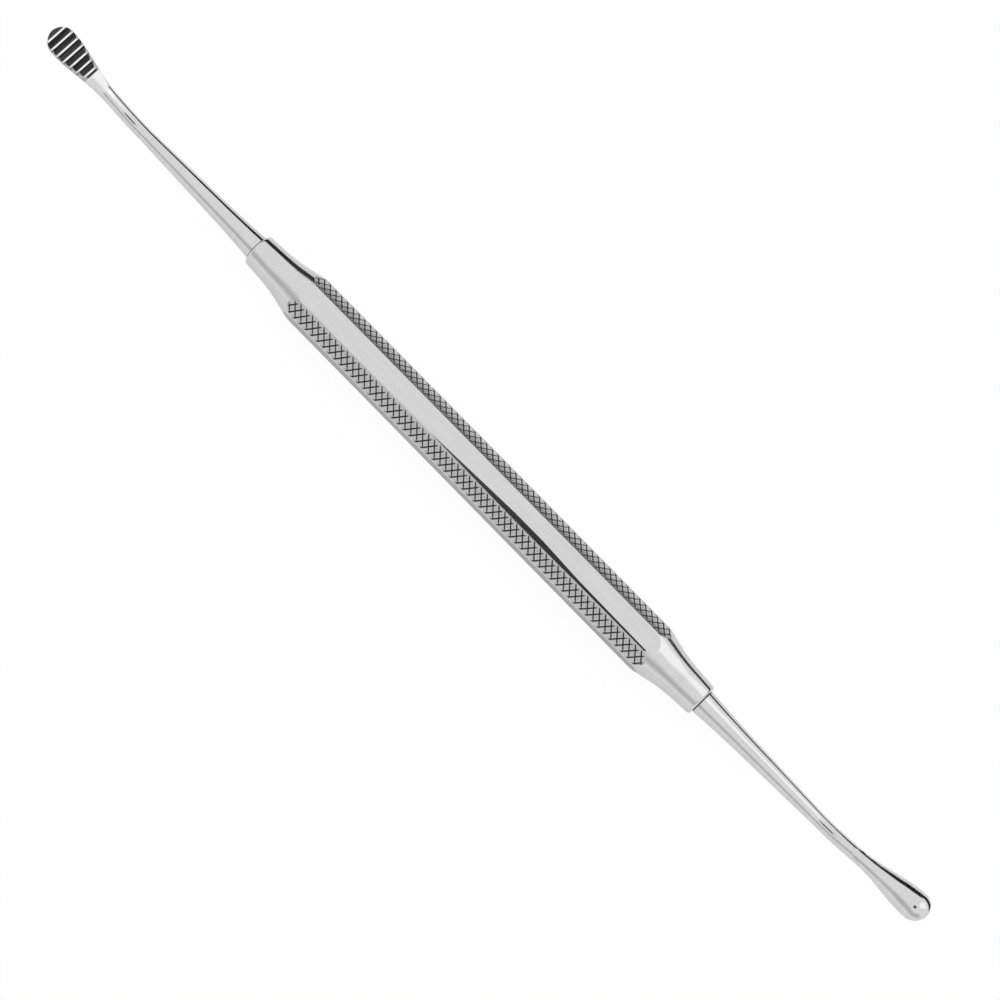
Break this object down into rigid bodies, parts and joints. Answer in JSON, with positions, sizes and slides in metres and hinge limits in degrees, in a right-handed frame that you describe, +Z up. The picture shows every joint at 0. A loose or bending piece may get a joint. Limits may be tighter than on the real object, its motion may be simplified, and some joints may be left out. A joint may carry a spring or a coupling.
{
  "type": "bone file",
  "caption": "Double-ended surgical bone file with an octagonal knurled steel handle and bent, paddle-headed files.",
  "frame": {"origin": "centre of the handle's bottom flat, on the surface that the tool lies on", "axes": "+X along the tool, from the file whose teeth face up to the file whose teeth face down; +Z up, the way both heads rise"},
  "size_m": [0.1782, 0.0076, 0.0109],
  "materials": {
    "handle_steel": "satin stainless steel, with a crossed knurl on every second flat",
    "file_steel": "polished stainless steel, with bright tooth crests"
  },
  "bodies": {
    "root": {"handle": "handle_steel", "upward_file": "file_steel", "downward_file": "file_steel"}
  },
  "joints": []
}
